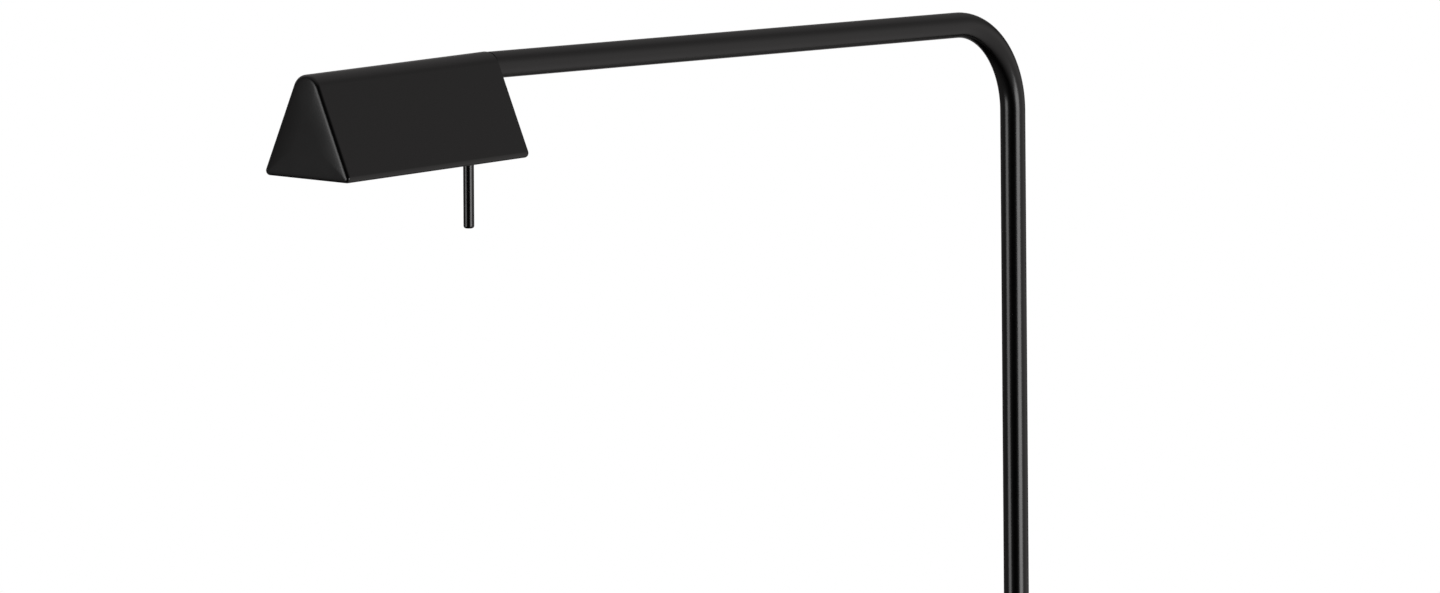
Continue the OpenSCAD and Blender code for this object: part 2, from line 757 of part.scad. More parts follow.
// Round wire along a list of Bezier spans in the XZ plane, crossing from y0 to y1 on its way
lead_sides = 8;
lead_steps = 6;
function lead_points(spans) = concat(
    [spans[0][0]],
    [for (s = spans, i = [1:lead_steps]) bezier(s, i / lead_steps)]
);
function lead_normal(p, i) = let (
    d = p[min(i + 1, len(p) - 1)] - p[max(i - 1, 0)]
) [-d[1], d[0]] / norm(d);
module wire(spans, y0, y1) {
    p = lead_points(spans);
    n = len(p);
    loft([
        for (i = [0:n - 1]) let (y = y0 + (y1 - y0) * i / (n - 1)) [
            for (k = [0:lead_sides - 1]) let (
                a = 360 * k / lead_sides,
                u = lead_d / 2 * cos(a) * lead_normal(p, i)
            ) [p[i][0] + u[0], y + lead_d / 2 * sin(a), p[i][1] + u[1]]
        ]
    ]);
}
module head_lead() {
    mouth = [spigot_x + loose_gap, 0];
    tab = [tab_x + loose_gap, tab_z];
    hole = [lead_hole_x, -(sink_drop + board_drop) / 2];
    pad = [board_x0 + 2, -board_drop - board_t - lead_d / 2];
    color("#b03a2e") in_head() {
        wire([[mouth, mouth + [9, 0], tab + [9, 0], tab]], lead_y / 4, lead_y);
        wire([
            [tab, tab + [6, 0], hole + [0, 6], hole],
            [hole, hole - [0, 5], pad - [4, lead_rise], pad]
        ], -lead_y, 0);
    }
}

foot_pad();
base_plate();
plate_screws();
base_weight();
base_cover();
cord_gland();
post_socket();
post_plug();
base_nipple();
nipple_washer();
nipple_nut();
post_tube();
stop_sleeve();
post_ferrule();
collet();
lock_ring();
glide_bush();
arm_tube();
bush_clips();
height_stop();
swivel_fitting();
friction_washer();
spring_washer();
swivel_washer();
swivel_nut();
shade_shell();
shade_end_cap();
shade_arm_cap();
swivel_block();
stop_pin();
switch_bracket();
end_bracket();
heat_sink();
sink_screws();
led_board();
board_screws();
led_chips();
lens_rails();
diffuser();
switch_cover();
dimmer();
dimmer_nut();
head_lead();
dimmer_shaft();
stalk();
stalk_screw();
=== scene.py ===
# %% [markdown]
# # A reading light with a tent shade
#
# The construction comes as a frame of CAD pieces at their real size, and nothing here moves or resizes
# them. This lesson gives the light its looks. The painted and moulded pieces that show are modelled again
# as smooth meshes that stand for their CAD nodes. All other pieces keep their CAD shape and get a finish.
# The frame is loaded first, because the sizes below are read from it.

# %% Load the frame
import json
import math

import bmesh
import bpy
from mathutils import Matrix, Vector


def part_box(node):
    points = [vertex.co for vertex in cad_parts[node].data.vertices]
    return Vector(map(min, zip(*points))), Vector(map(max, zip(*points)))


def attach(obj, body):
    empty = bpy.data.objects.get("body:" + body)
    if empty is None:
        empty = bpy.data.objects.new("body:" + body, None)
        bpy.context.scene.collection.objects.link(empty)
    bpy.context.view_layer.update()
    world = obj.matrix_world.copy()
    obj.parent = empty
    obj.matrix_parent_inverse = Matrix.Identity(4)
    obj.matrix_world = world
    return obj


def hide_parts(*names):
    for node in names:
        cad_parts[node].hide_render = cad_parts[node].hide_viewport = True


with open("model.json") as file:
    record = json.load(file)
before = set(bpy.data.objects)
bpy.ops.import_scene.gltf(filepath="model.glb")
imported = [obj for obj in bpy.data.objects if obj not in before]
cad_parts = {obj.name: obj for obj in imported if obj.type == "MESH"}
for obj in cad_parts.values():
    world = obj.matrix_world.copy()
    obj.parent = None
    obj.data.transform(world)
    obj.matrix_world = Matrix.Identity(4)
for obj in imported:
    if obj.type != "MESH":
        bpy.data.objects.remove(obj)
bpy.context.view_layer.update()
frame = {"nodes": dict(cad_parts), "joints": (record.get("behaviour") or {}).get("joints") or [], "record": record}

cad_nodes = frame["nodes"]
joints = {joint["name"]: joint for joint in frame["joints"]}
slot_of = {part["node"]: part["material_slot"] for part in frame["record"]["subparts"]}
members = frame["record"]["behaviour"]["bodies"].items()
body_of = {node: body for body, nodes in members for node in nodes}
MM = 0.001

# %% [markdown]
# ## Camera
#
# The photograph is a long-lens picture from a little above the arm, seen past the end of the shade. Its
# viewing angle was found by matching the straight edges of shade, arm and stem, so the camera is set as
# a direction, a position and a focal length in pixels of the photograph. A camera could also be aimed
# with a Track To constraint, but then the small tilt of the picture would be lost.

# %% Set the camera
PHOTO_WIDTH = 1440
FOCAL_PIXELS = 8388
SENSOR_MM = 36
azimuth = math.radians(-50.066)
elevation = math.radians(5.297)
tilt = math.radians(-0.617)
eye = Vector((-4.1798, -3.2559, 1.4177))

look = Vector((-math.sin(azimuth), math.cos(azimuth), 0)) * math.cos(elevation)
look.z = -math.sin(elevation)
across = Vector((math.cos(azimuth), math.sin(azimuth), 0))
upright = across.cross(look)
right = across * math.cos(tilt) + upright * math.sin(tilt)
up = right.cross(look)

lens = bpy.data.cameras.new("photo_camera")
lens.sensor_fit = "HORIZONTAL"
lens.sensor_width = SENSOR_MM
lens.lens = FOCAL_PIXELS / PHOTO_WIDTH * SENSOR_MM
camera = bpy.data.objects.new("photo_camera", lens)
camera.matrix_world = Matrix.Translation(eye) @ Matrix((right, up, -look)).transposed().to_4x4()
bpy.context.scene.collection.objects.link(camera)
bpy.context.scene.camera = camera
print("Camera: lens of", round(lens.lens, 1), "mm at", [round(c, 2) for c in eye])

# %% [markdown]
# ## Studio light
#
# Black satin paint shows almost nothing but reflections, so the studio is what makes the picture. Two
# wide, low softboxes stand to the left and right of the camera and draw the two bright lines on the
# stem. They are area lamps, because a lamp with a real size gives the soft edge of those lines. They
# stay low so that the top of the base doesn't mirror them in a view from the other side, and the camera
# itself doesn't see them.

# %% Two softboxes
BOX_DISTANCE = 6.0
BOX_HEIGHT = 2.2
BOX_TOP = 1.1
QUARTER_TURN = math.radians(90)


def softbox(name, heading, width, radiance):
    """A lamp that faces the stem from a compass heading in degrees."""
    angle = math.radians(heading)
    place = Vector((math.cos(angle), math.sin(angle), 0)) * BOX_DISTANCE
    place.z = BOX_TOP - BOX_HEIGHT / 2
    bpy.ops.object.light_add(type="AREA", location=place)
    lamp = bpy.context.object
    lamp.name = name
    lamp.rotation_euler = (QUARTER_TURN, 0, angle + QUARTER_TURN)
    lamp.data.shape = "RECTANGLE"
    lamp.data.size = width
    lamp.data.size_y = BOX_HEIGHT
    lamp.data.energy = radiance * math.pi * width * BOX_HEIGHT
    lamp.visible_camera = False
    return lamp


bpy.ops.object.select_all(action="DESELECT")
softbox("softbox_left", heading=160.0, width=2.5, radiance=3.1)
softbox("softbox_right", heading=265.8, width=3.3, radiance=4.6)

# %% [markdown]
# ## Room and background
#
# The background is plain white where the camera looks, and the same through clear plastic. Reflections
# see a room instead, because the photographed paint mirrors one: pale walls and windows round the light,
# a ceiling over it, and the dark side where the camera stands. Each of these is a soft glow round one
# direction, so a dot product and a smooth step make it. An even, plain light level is left for matt
# surfaces. All of this fits in the world shader, where the Light Path node tells the kinds of ray apart.
# The world isn't sampled as a lamp, because that would mix the even level into the reflections.

# %% Node helpers


def add_node(tree, kind, **settings):
    """Adds a shader node and sets its properties."""
    made = tree.nodes.new(kind)
    for name, value in settings.items():
        setattr(made, name, value)
    return made


def join(tree, *links):
    """Links pairs of sockets, output first."""
    for start, end in links:
        tree.links.new(start, end)


print("Node helpers ready")

# %% World
WHITE = (1, 1, 1, 1)
WARM_WHITE = (1, 0.965, 0.96, 1)
EVEN_LEVEL = 0.95
ROOM_DARK = 0.005
# Name, direction, cosine of the angle at which the glow starts, and its strength in the middle.
GLOWS = [
    ("pale wall", (0.51, -0.75, -0.43), 0.29, 0.57),
    ("window", (0.85, -0.40, 0.33), 0.75, 0.08),
    ("ceiling", (0.10, 0.12, 0.98), 0.25, 0.40),
    ("far wall", (-0.70, 0.70, -0.09), 0.3, 0.15),
    ("rear wall", (0.785, 0.614, -0.087), 0.82, 0.28),
    ("rear window", (0.07, 0.82, 0.57), 0.7, 0.40),
]

studio = bpy.data.worlds.new("studio")
studio.use_nodes = True
studio.cycles.sampling_method = "NONE"
bpy.context.scene.world = studio
tree = studio.node_tree
tree.nodes.clear()
where = add_node(tree, "ShaderNodeTexCoord")
room_level = None
for title, heading, start, strength in GLOWS:
    facing = add_node(tree, "ShaderNodeVectorMath", operation="DOT_PRODUCT", label=title)
    facing.inputs[1].default_value = heading
    glow = add_node(tree, "ShaderNodeMapRange", interpolation_type="SMOOTHSTEP")
    glow.inputs["From Min"].default_value = start
    glow.inputs["To Max"].default_value = strength
    total = add_node(tree, "ShaderNodeMath", operation="ADD")
    total.inputs[1].default_value = ROOM_DARK
    if room_level is not None:
        join(tree, (room_level, total.inputs[1]))
    room_level = total.outputs[0]
    join(
        tree,
        (where.outputs["Generated"], facing.inputs[0]),
        (facing.outputs["Value"], glow.inputs["Value"]),
        (glow.outputs["Result"], total.inputs[0]),
    )
print("Room:", [title for title, *_ in GLOWS])

# %% Sort the rays
rays = add_node(tree, "ShaderNodeLightPath")
even = add_node(tree, "ShaderNodeBackground")
even.inputs["Color"].default_value = WHITE
even.inputs["Strength"].default_value = EVEN_LEVEL
room = add_node(tree, "ShaderNodeBackground")
room.inputs["Color"].default_value = WARM_WHITE
plain = add_node(tree, "ShaderNodeBackground")
plain.inputs["Color"].default_value = WHITE
mirrored = add_node(tree, "ShaderNodeMixShader")
seen = add_node(tree, "ShaderNodeMath", operation="MAXIMUM")
shown = add_node(tree, "ShaderNodeMixShader")
sky = add_node(tree, "ShaderNodeOutputWorld")
join(
    tree,
    (room_level, room.inputs["Strength"]),
    (rays.outputs["Is Glossy Ray"], mirrored.inputs["Fac"]),
    (even.outputs[0], mirrored.inputs[1]),
    (room.outputs[0], mirrored.inputs[2]),
    (rays.outputs["Is Camera Ray"], seen.inputs[0]),
    (rays.outputs["Is Transmission Ray"], seen.inputs[1]),
    (seen.outputs[0], shown.inputs["Fac"]),
    (mirrored.outputs[0], shown.inputs[1]),
    (plain.outputs[0], shown.inputs[2]),
    (shown.outputs[0], sky.inputs["Surface"]),
)
bpy.context.scene.view_settings.view_transform = "Standard"
print("World:", len(tree.nodes), "nodes")

# %% [markdown]
# ## Floor
#
# A pale round mat under the base keeps the light's shadow. Its rim fades out into the white background,
# so no horizon cuts through the stem in any view. The fade is a mask on the distance from the post.
# Two more masks open the mat: its back, for a look from below, and reflections from further away, since
# the photographed bend mirrors no pale floor, while the base should.

# %% Floor mat
MAT_RADIUS = 1.3
MAT_SIDES = 96
FLOOR_GAP = 0.1 * MM

bpy.ops.object.select_all(action="DESELECT")
bpy.ops.mesh.primitive_circle_add(
    vertices=MAT_SIDES, radius=MAT_RADIUS, fill_type="NGON", location=(0, 0, -FLOOR_GAP)
)
floor = bpy.context.object
floor.name = "floor"
bpy.ops.object.transform_apply(location=True, rotation=True, scale=True)
print("Floor: mat of", 2 * MAT_RADIUS, "m across")

# %% Floor paper
FADE_START = 0.45
MIRROR_NEAR, MIRROR_FAR = 0.25, 0.6
FLOOR_TONE = (0.80, 0.80, 0.79, 1)
FLOOR_ROUGHNESS = 0.9
FLOOR_SPECULAR = 0.1

paper = bpy.data.materials.new("floor_paper")
paper.use_nodes = True
tree = paper.node_tree
matt = tree.nodes["Principled BSDF"]
matt.inputs["Base Color"].default_value = FLOOR_TONE
matt.inputs["Roughness"].default_value = FLOOR_ROUGHNESS
matt.inputs["Specular IOR Level"].default_value = FLOOR_SPECULAR
where = add_node(tree, "ShaderNodeTexCoord")
radius = add_node(tree, "ShaderNodeVectorMath", operation="LENGTH")
fade = add_node(tree, "ShaderNodeMapRange", interpolation_type="SMOOTHSTEP")
fade.inputs["From Min"].default_value = FADE_START
fade.inputs["From Max"].default_value = MAT_RADIUS
rays = add_node(tree, "ShaderNodeLightPath")
far = add_node(tree, "ShaderNodeMapRange", interpolation_type="SMOOTHSTEP")
far.inputs["From Min"].default_value = MIRROR_NEAR
far.inputs["From Max"].default_value = MIRROR_FAR
mirror = add_node(tree, "ShaderNodeMath", operation="MULTIPLY")
below = add_node(tree, "ShaderNodeNewGeometry")
either = add_node(tree, "ShaderNodeMath", operation="MAXIMUM")
opening = add_node(tree, "ShaderNodeMath", operation="MAXIMUM")
clear = add_node(tree, "ShaderNodeBsdfTransparent")
blend = add_node(tree, "ShaderNodeMixShader")
join(
    tree,
    (where.outputs["Object"], radius.inputs[0]),
    (radius.outputs["Value"], fade.inputs["Value"]),
    (rays.outputs["Ray Length"], far.inputs["Value"]),
    (rays.outputs["Is Glossy Ray"], mirror.inputs[0]),
    (far.outputs["Result"], mirror.inputs[1]),
    (below.outputs["Backfacing"], either.inputs[0]),
    (mirror.outputs[0], either.inputs[1]),
    (fade.outputs["Result"], opening.inputs[0]),
    (either.outputs[0], opening.inputs[1]),
    (opening.outputs[0], blend.inputs["Fac"]),
    (matt.outputs[0], blend.inputs[1]),
    (clear.outputs[0], blend.inputs[2]),
    (blend.outputs[0], tree.nodes["Material Output"].inputs["Surface"]),
)
floor.data.materials.append(paper)
print("Floor paper:", len(tree.nodes), "nodes")

# %% [markdown]
# ## Shared surface effects
#
# Three effects come back in many finishes, so each is a node group with its own inputs. A sprayed or
# moulded skin has a fine pebbled height and broad clouds of more or less gloss. Drawn, turned and
# extruded metal has fine lines along one direction. A cast or ground surface has grains of two sizes.
# Each group gives only values and colours, and the material decides what they drive.

# %% Node group helper
FLOAT, COLOUR, VECTOR = "NodeSocketFloat", "NodeSocketColor", "NodeSocketVector"


def new_group(name, inputs, outputs):
    """An empty shader node group with named sockets; gives its tree, input node and output node."""
    group = bpy.data.node_groups.new(name, "ShaderNodeTree")
    for label, kind, value in inputs:
        group.interface.new_socket(label, in_out="INPUT", socket_type=kind).default_value = value
    for label, kind in outputs:
        group.interface.new_socket(label, in_out="OUTPUT", socket_type=kind)
    return group, add_node(group, "NodeGroupInput"), add_node(group, "NodeGroupOutput")


print("Group helper ready")

# %% Noise and colour helpers
NOISE_LOW, NOISE_HIGH = 0.3, 0.7


def noise(group, scale, detail=2.0, vector=None):
    """A noise texture whose scale comes from a socket."""
    made = add_node(group, "ShaderNodeTexNoise")
    made.inputs["Detail"].default_value = detail
    join(group, (scale, made.inputs["Scale"]))
    if vector is not None:
        join(group, (vector, made.inputs["Vector"]))
    return made.outputs["Fac"]


def remap(group, value, low, high):
    """Spreads the middle of a noise over the span between two sockets."""
    made = add_node(group, "ShaderNodeMapRange")
    made.inputs["From Min"].default_value = NOISE_LOW
    made.inputs["From Max"].default_value = NOISE_HIGH
    join(
        group,
        (value, made.inputs["Value"]),
        (low, made.inputs["To Min"]),
        (high, made.inputs["To Max"]),
    )
    return made.outputs["Result"]


def tint(group, value, light, dark):
    """A colour between two colour sockets."""
    made = add_node(group, "ShaderNodeMix", data_type="RGBA")
    join(group, (value, made.inputs["Factor"]), (dark, made.inputs["A"]), (light, made.inputs["B"]))
    return made.outputs["Result"]


print("Noise and colour helpers ready")

# %% Sockets of every effect
COMMON = [
    ("Light", COLOUR, (0.5, 0.5, 0.5, 1)),
    ("Dark", COLOUR, (0.4, 0.4, 0.4, 1)),
    ("Smooth", FLOAT, 0.3),
    ("Rough", FLOAT, 0.4),
    ("Fine", FLOAT, 1000.0),
]
RESULTS = [("Color", COLOUR), ("Roughness", FLOAT), ("Height", FLOAT)]


def finish_group(group, end, source, clouds, height):
    """Wires the three results that every effect gives."""
    ends = source.outputs
    join(
        group,
        (tint(group, clouds, ends["Light"], ends["Dark"]), end.inputs["Color"]),
        (remap(group, clouds, ends["Smooth"], ends["Rough"]), end.inputs["Roughness"]),
        (height, end.inputs["Height"]),
    )
    return group


print("Every effect gives:", [label for label, kind in RESULTS])

# %% Skin, lines and grain


def skin_group():
    """Pebbled spray or mould texture, with broad clouds of gloss."""
    group, source, end = new_group("skin", COMMON + [("Broad", FLOAT, 20.0)], RESULTS)
    where = add_node(group, "ShaderNodeTexCoord").outputs["Object"]
    clouds = noise(group, source.outputs["Broad"], vector=where)
    pebbles = noise(group, source.outputs["Fine"], vector=where)
    return finish_group(group, end, source, clouds, pebbles)


def lines_group():
    """Fine lines along one direction, short across the stretch vector's large axes."""
    group, source, end = new_group("lines", COMMON + [("Stretch", VECTOR, (1, 1, 1))], RESULTS)
    where = add_node(group, "ShaderNodeTexCoord").outputs["Object"]
    stretched = add_node(group, "ShaderNodeVectorMath", operation="MULTIPLY")
    join(group, (where, stretched.inputs[0]), (source.outputs["Stretch"], stretched.inputs[1]))
    lines = noise(group, source.outputs["Fine"], vector=stretched.outputs["Vector"])
    return finish_group(group, end, source, lines, lines)


def grain_group():
    """Cells of a crystal, fibre or casting surface, with a finer grit on them."""
    group, source, end = new_group("grain", COMMON + [("Broad", FLOAT, 200.0)], RESULTS)
    where = add_node(group, "ShaderNodeTexCoord").outputs["Object"]
    cells = add_node(group, "ShaderNodeTexVoronoi")
    join(group, (where, cells.inputs["Vector"]), (source.outputs["Broad"], cells.inputs["Scale"]))
    shade = add_node(group, "ShaderNodeSeparateColor")
    join(group, (cells.outputs["Color"], shade.inputs["Color"]))
    grit = noise(group, source.outputs["Fine"], vector=where)
    return finish_group(group, end, source, shade.outputs["Red"], grit)


effects = {"skin": skin_group(), "lines": lines_group(), "grain": grain_group()}
print("Effects:", sorted(effects))

# %% [markdown]
# ## Finishes
#
# Each material slot of the record gets one procedural material: an effect group feeds colour, roughness
# and a bump, and everything that is the same all over is set on the shader itself. The satin black is
# nearly pure black with a middle gloss, and its pebbles are only a few thousandths of a millimetre high,
# because the photographed paint is smooth and even.

# %% Material helper
finish = {}


def make_finish(slot, effect, light, dark, smooth, rough, fine, bump_mm, metallic=0.0, **extra):
    """One material for a slot: an effect group with its own values on a Principled shader."""
    material = bpy.data.materials.new(slot + "_finish")
    material.use_nodes = True
    tree = material.node_tree
    shader = tree.nodes["Principled BSDF"]
    shader.inputs["Metallic"].default_value = metallic
    surface = add_node(tree, "ShaderNodeGroup", node_tree=effects[effect])
    values = {"Light": (*light, 1), "Dark": (*dark, 1), "Smooth": smooth, "Rough": rough, "Fine": fine}
    for label, value in {**values, **extra}.items():
        surface.inputs[label].default_value = value
    bump = add_node(tree, "ShaderNodeBump")
    bump.inputs["Distance"].default_value = bump_mm * MM
    join(
        tree,
        (surface.outputs["Color"], shader.inputs["Base Color"]),
        (surface.outputs["Roughness"], shader.inputs["Roughness"]),
        (surface.outputs["Height"], bump.inputs["Height"]),
        (bump.outputs["Normal"], shader.inputs["Normal"]),
    )
    finish[slot] = material
    return shader


print("Material helper ready")

# %% Paints and plastics
make_finish(
    "satin_black", "skin", light=(0.0007, 0.0006, 0.0006), dark=(0.0006, 0.0005, 0.0005),
    smooth=0.20, rough=0.23, fine=900, bump_mm=0.002, Broad=30,
)
make_finish(
    "white_paint", "skin", light=(0.86, 0.86, 0.84), dark=(0.82, 0.82, 0.80),
    smooth=0.40, rough=0.50, fine=700, bump_mm=0.006, Broad=25,
)
make_finish(
    "black_nylon", "skin", light=(0.030, 0.030, 0.032), dark=(0.022, 0.022, 0.024),
    smooth=0.45, rough=0.55, fine=1500, bump_mm=0.01, Broad=60,
)
make_finish(
    "white_nylon", "skin", light=(0.80, 0.80, 0.75), dark=(0.74, 0.74, 0.69),
    smooth=0.42, rough=0.52, fine=1500, bump_mm=0.008, Broad=60,
)
make_finish(
    "white_board", "skin", light=(0.85, 0.85, 0.83), dark=(0.81, 0.81, 0.79),
    smooth=0.25, rough=0.33, fine=2500, bump_mm=0.004, Broad=80,
)
make_finish(
    "blue_plastic", "skin", light=(0.05, 0.10, 0.18), dark=(0.04, 0.08, 0.15),
    smooth=0.40, rough=0.50, fine=1800, bump_mm=0.008, Broad=90,
)
make_finish(
    "red_insulation", "skin", light=(0.42, 0.03, 0.02), dark=(0.34, 0.025, 0.018),
    smooth=0.35, rough=0.45, fine=1500, bump_mm=0.006, Broad=90,
)
print("Finishes so far:", sorted(finish))

# %% Metals, casting and pad
make_finish(
    "zinc_steel", "grain", light=(0.66, 0.67, 0.69), dark=(0.56, 0.57, 0.59),
    smooth=0.28, rough=0.42, fine=2500, bump_mm=0.004, metallic=1.0, Broad=350,
)
make_finish(
    "cast_iron", "grain", light=(0.060, 0.060, 0.062), dark=(0.038, 0.038, 0.040),
    smooth=0.60, rough=0.80, fine=900, bump_mm=0.10, Broad=400,
)
make_finish(
    "brass", "lines", light=(0.66, 0.48, 0.20), dark=(0.56, 0.40, 0.16),
    smooth=0.24, rough=0.36, fine=60, bump_mm=0.004, metallic=1.0, Stretch=(1, 1, 40),
)
make_finish(
    "bare_aluminium", "lines", light=(0.74, 0.75, 0.77), dark=(0.64, 0.65, 0.67),
    smooth=0.30, rough=0.44, fine=60, bump_mm=0.006, metallic=1.0, Stretch=(1, 30, 30),
)
make_finish(
    "rubber_pad", "grain", light=(0.050, 0.050, 0.052), dark=(0.034, 0.034, 0.036),
    smooth=0.75, rough=0.90, fine=2200, bump_mm=0.12, Broad=900,
)
make_finish(
    "led_phosphor", "grain", light=(0.80, 0.66, 0.12), dark=(0.72, 0.58, 0.10),
    smooth=0.35, rough=0.50, fine=4000, bump_mm=0.01, Broad=1500,
)
print("Finishes so far:", sorted(finish))

# %% [markdown]
# ## Frosted diffuser
#
# The diffuser is a milky acrylic sheet. It lets light through without a clear picture of what is behind
# it, so the shader is a white plastic with some transmission and a rough, ground surface. Its metallic
# and transmission values stay plain numbers.

# %% Frosted acrylic
SEE_THROUGH = 0.35
ACRYLIC_IOR = 1.49

acrylic = make_finish(
    "frosted_acrylic", "skin", light=(0.90, 0.90, 0.87), dark=(0.86, 0.86, 0.83),
    smooth=0.45, rough=0.55, fine=2500, bump_mm=0.01, Broad=40,
)
acrylic.inputs["Transmission Weight"].default_value = SEE_THROUGH
acrylic.inputs["IOR"].default_value = ACRYLIC_IOR

for name, node in cad_nodes.items():
    for place in node.material_slots:
        place.material = finish[slot_of[name]]
print("Finished CAD nodes:", len(cad_nodes), "with", len(finish), "materials")

# %% [markdown]
# ## Modelling by hand, without hands
#
# The pieces below are made as in edit mode: a primitive is added at its size and place, parts of it are
# selected, and extrude, spin, bevel and scale shape it. These few helpers select by place, close a piece
# and hand it over to the frame. Weighted normals keep flat faces flat beside small roundings, which on
# glossy black paint is the difference between sheet metal and soap.

# %% Edit-mode helpers
NEAR = 0.01 * MM


def alone(piece):
    """Makes a piece the only selected and active object."""
    bpy.ops.object.select_all(action="DESELECT")
    piece.select_set(True)
    bpy.context.view_layer.objects.active = piece


def open_new(name):
    """Names the primitive just added and opens it in edit mode, all selected."""
    piece = bpy.context.object
    piece.name = piece.data.name = name
    bpy.ops.object.transform_apply(location=True, rotation=True, scale=True)
    bpy.ops.object.mode_set(mode="EDIT")
    bpy.ops.mesh.select_mode(type="EDGE")
    bpy.ops.mesh.select_all(action="SELECT")
    return piece


def pick(kind, test):
    """Selects only the vertices, edges or faces of the open mesh that pass a test."""
    bpy.ops.mesh.select_mode(type=kind)
    bpy.ops.mesh.select_all(action="DESELECT")
    mesh = bmesh.from_edit_mesh(bpy.context.object.data)
    for part in {"VERT": mesh.verts, "EDGE": mesh.edges, "FACE": mesh.faces}[kind]:
        if test(part):
            part.select_set(True)
    mesh.select_flush_mode()
    bmesh.update_edit_mesh(bpy.context.object.data)


def all_at(axis, value):
    """A test: every corner lies at this value along an axis (0, 1 or 2)."""
    return lambda part: all(abs(vert.co[axis] - value) < NEAR for vert in part.verts)


def pull(x=0.0, y=0.0, z=0.0):
    """Extrudes what is selected along a vector."""
    bpy.ops.mesh.extrude_region_move(TRANSFORM_OT_translate={"value": (x, y, z)})


print("Edit helpers ready")

# %% Closing helpers
SHARP = math.radians(35)
DOUBLES = 0.001 * MM


def apply_modifier(piece, kind, **settings):
    """Adds a modifier, sets it up and applies it."""
    bpy.ops.object.mode_set(mode="OBJECT")
    alone(piece)
    modifier = piece.modifiers.new(kind.lower(), kind)
    for name, value in settings.items():
        setattr(modifier, name, value)
    bpy.ops.object.modifier_apply(modifier=modifier.name)


def clean():
    """Merges doubles and turns all faces of the open mesh outwards."""
    bpy.ops.mesh.select_all(action="SELECT")
    bpy.ops.mesh.remove_doubles(threshold=DOUBLES)
    bpy.ops.mesh.normals_make_consistent(inside=False)


def hand_over(piece, node, place=None):
    """Puts a piece in place, smooths it, gives it its finish and lets it stand for a CAD node."""
    bpy.ops.object.mode_set(mode="OBJECT")
    alone(piece)
    if place is not None:
        piece.matrix_world = place
        bpy.ops.object.transform_apply(location=True, rotation=True, scale=True)
    bpy.ops.object.shade_smooth_by_angle(angle=SHARP)
    apply_modifier(piece, "WEIGHTED_NORMAL", keep_sharp=True)
    if not piece.data.materials:
        piece.data.materials.append(finish[slot_of[node]])
    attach(piece, body_of[node])
    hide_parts(node)
    low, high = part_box(node)
    points = [vert.co for vert in piece.data.vertices]
    off = max(
        max(abs(min(p[k] for p in points) - low[k]), abs(max(p[k] for p in points) - high[k]))
        for k in range(3)
    )
    print(piece.name, len(piece.data.polygons), "faces, box off by", round(off / MM, 3), "mm")


print("Closing helpers ready")

# %% [markdown]
# ## Bent arm
#
# The arm is one steel tube with a single bend, drawn and bent on a mandrel. A curve with a round bevel
# would give the same path, but a ring that is extruded up, spun round the bend and extruded on is how
# the tube itself goes through the bender, and it keeps a clean ring of edges at every station. The same
# ring then goes back on the inside, so that the wall has its real thickness. Near its lower end the
# tube has rolled grooves for the clips and the stop ring that ride on it inside the post.

# %% Arm tube
TUBE_SIDES = 64
BEND_STEPS = 32
BEND_RADIUS = 57 * MM
TUBE_WALL = 1.2 * MM
GROOVE_DEPTH = 0.4 * MM
CLIP_WIDTH = 1 * MM

low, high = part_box("arm_tube")
tube_radius = high.y
arm_reach = -low.x
arm_height = high.z - tube_radius
stem_top = arm_height - BEND_RADIUS
clips_low, clips_high = (corner.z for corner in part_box("bush_clips"))
stop_low, stop_high = (corner.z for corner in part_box("height_stop"))
grooves = [
    (clips_low, clips_low + CLIP_WIDTH),
    (clips_high - CLIP_WIDTH, clips_high),
    (stop_low, stop_high),
]


def widen(share, centre):
    """Starts a new ring in place, and makes it wider or narrower round the stem."""
    pull()
    bpy.ops.transform.resize(value=(share, share, 1), center_override=centre)


bpy.ops.object.select_all(action="DESELECT")
bpy.ops.mesh.primitive_circle_add(vertices=TUBE_SIDES, radius=tube_radius, location=(0, 0, low.z))
arm = open_new("bent_arm")
height = low.z
waist = 1 - GROOVE_DEPTH / tube_radius
for start, end in grooves:
    pull(z=start - height)
    widen(waist, (0, 0, start))
    pull(z=end - start)
    widen(1 / waist, (0, 0, end))
    height = end
pull(z=stem_top - height)
print("Stem:", round((stem_top - low.z) / MM, 1), "mm up to the bend, with", len(grooves), "grooves")

# %% Bend it, and go back on the inside
bore = 1 - TUBE_WALL / tube_radius
bend_centre = (-BEND_RADIUS, 0, stem_top)
bpy.ops.mesh.spin(steps=BEND_STEPS, angle=QUARTER_TURN, center=bend_centre, axis=(0, 1, 0))
pull(x=BEND_RADIUS - arm_reach)
pull()
bpy.ops.transform.resize(value=(1, bore, bore), center_override=(-arm_reach, 0, arm_height))
pull(x=arm_reach - BEND_RADIUS)
bpy.ops.mesh.spin(steps=BEND_STEPS, angle=QUARTER_TURN, center=bend_centre, axis=(0, -1, 0))
pull(z=low.z - stem_top)
widen(1 / bore, (0, 0, low.z))
clean()
hand_over(arm, "arm_tube")

# %% [markdown]
# ## Frame of the head
#
# The shade droops a little against the arm and is stored with a small turn about its swivel. It is
# easiest to model it level, with x along the swivel and z up, and to move the finished mesh. The two
# joint axes give that frame, and the CAD nodes measured in it give the sizes.

# %% Head frame
head_x = Vector(joints["head_turn"]["axis"]).normalized()
head_z = Vector(joints["stalk_turn"]["axis"]).normalized()
head_y = head_z.cross(head_x)
head_place = Matrix((head_x, head_y, head_z)).transposed().to_4x4()
head_place.translation = joints["head_turn"]["pos_m"]


def head_box(node):
    """Lowest and highest corner of a CAD node in the frame of the head."""
    points = [head_place.inverted() @ vert.co for vert in cad_nodes[node].data.vertices]
    return Vector(map(min, zip(*points))), Vector(map(max, zip(*points)))


shell_low, shell_high = head_box("shade_shell")
print("Shade sheet, mm:", [round(c / MM, 2) for c in shell_high - shell_low])

